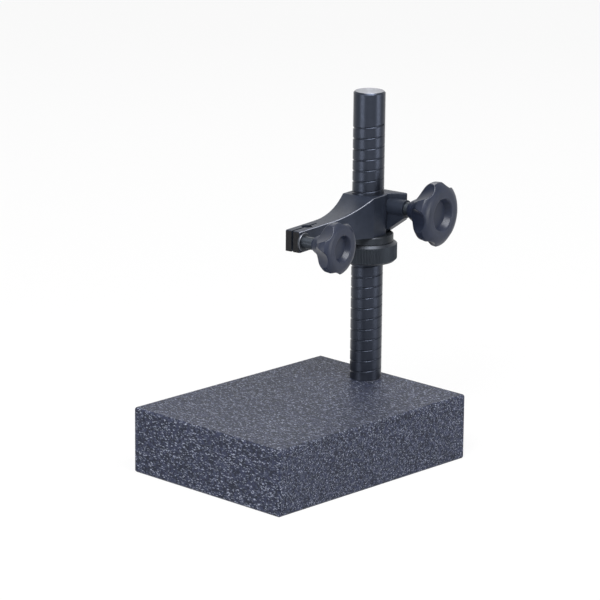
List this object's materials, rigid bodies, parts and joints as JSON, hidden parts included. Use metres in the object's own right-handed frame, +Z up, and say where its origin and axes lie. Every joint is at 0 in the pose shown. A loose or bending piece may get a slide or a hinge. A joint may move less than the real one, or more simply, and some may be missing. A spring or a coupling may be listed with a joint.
{
  "type": "comparator stand",
  "caption": "Measuring stand: granite plate, grooved round column, knurled height nut, and a swivelling arm with a column clamp and a split nose that grips an indicator stem.",
  "frame": {"origin": "centre of the granite plate's underside", "axes": "+Z up along the column, +Y from the arm's nose back to the column, +X across the plate to the side of the clamp knobs"},
  "size_m": [0.15, 0.2225, 0.272],
  "materials": {
    "granite": "ground, fine salt and pepper",
    "column_steel": "ground, dark",
    "black_steel": "blackened, satin",
    "fastener_steel": "plain, turned",
    "arm_iron": "satin dark coating",
    "knob_plastic": "satin moulded",
    "pad_brass": "turned"
  },
  "bodies": {
    "stand": {"granite_base": "granite", "column_bush": "fastener_steel", "column": "column_steel", "column_bolt": "fastener_steel", "column_washer": "fastener_steel", "column_spring_washer": "fastener_steel"},
    "lift": {"thrust_ring": "black_steel"},
    "nut": {"height_nut": "black_steel", "groove_pin": "fastener_steel", "groove_pin_screw": "fastener_steel"},
    "arm": {"arm": "arm_iron"},
    "column_clamp_slide": {"column_clamp_pad": "pad_brass"},
    "column_clamp_handle": {"column_clamp_knob": "knob_plastic", "column_clamp_screw": "black_steel"},
    "indicator_clamp_slide": {"indicator_clamp_washer": "black_steel"},
    "indicator_clamp_handle": {"indicator_clamp_knob": "knob_plastic", "indicator_clamp_screw": "black_steel"}
  },
  "joints": [
    {"name": "height", "type": "slide", "parent": "stand", "child": "lift", "axis": [0, 0, 1], "range_m": [-0.088, 0.076]},
    {"name": "nut_turn", "type": "hinge", "parent": "lift", "child": "nut", "pos_m": [-0.0092, 0.0804, 0.15], "axis": [0, 0, 1], "range_deg": [-3860, 3330]},
    {"name": "arm_swivel", "type": "hinge", "parent": "lift", "child": "arm", "pos_m": [-0.0092, 0.0804, 0.1635], "axis": [0, 0, 1], "continuous": true},
    {"name": "column_clamp_travel", "type": "slide", "parent": "arm", "child": "column_clamp_slide", "axis": [0.9903, 0.1392, 0], "range_m": [0, 0.00188]},
    {"name": "column_clamp_turn", "type": "hinge", "parent": "column_clamp_slide", "child": "column_clamp_handle", "pos_m": [0.0166, 0.09513, 0.1835], "axis": [0.9903, 0.1392, 0], "range_deg": [0, 540]},
    {"name": "indicator_clamp_travel", "type": "slide", "parent": "arm", "child": "indicator_clamp_slide", "axis": [0.9903, 0.1392, 0], "range_m": [0, 0.0015]},
    {"name": "indicator_clamp_turn", "type": "hinge", "parent": "indicator_clamp_slide", "child": "indicator_clamp_handle", "pos_m": [0.01024, -0.00977, 0.175], "axis": [0.9903, 0.1392, 0], "range_deg": [0, 540]}
  ],
  "couplings": [
    {"joint": "height", "follows": "nut_turn", "m_per_rad": 0.0013051},
    {"joint": "column_clamp_travel", "follows": "column_clamp_turn", "m_per_rad": 0.00019894},
    {"joint": "indicator_clamp_travel", "follows": "indicator_clamp_turn", "m_per_rad": 0.00015915}
  ]
}
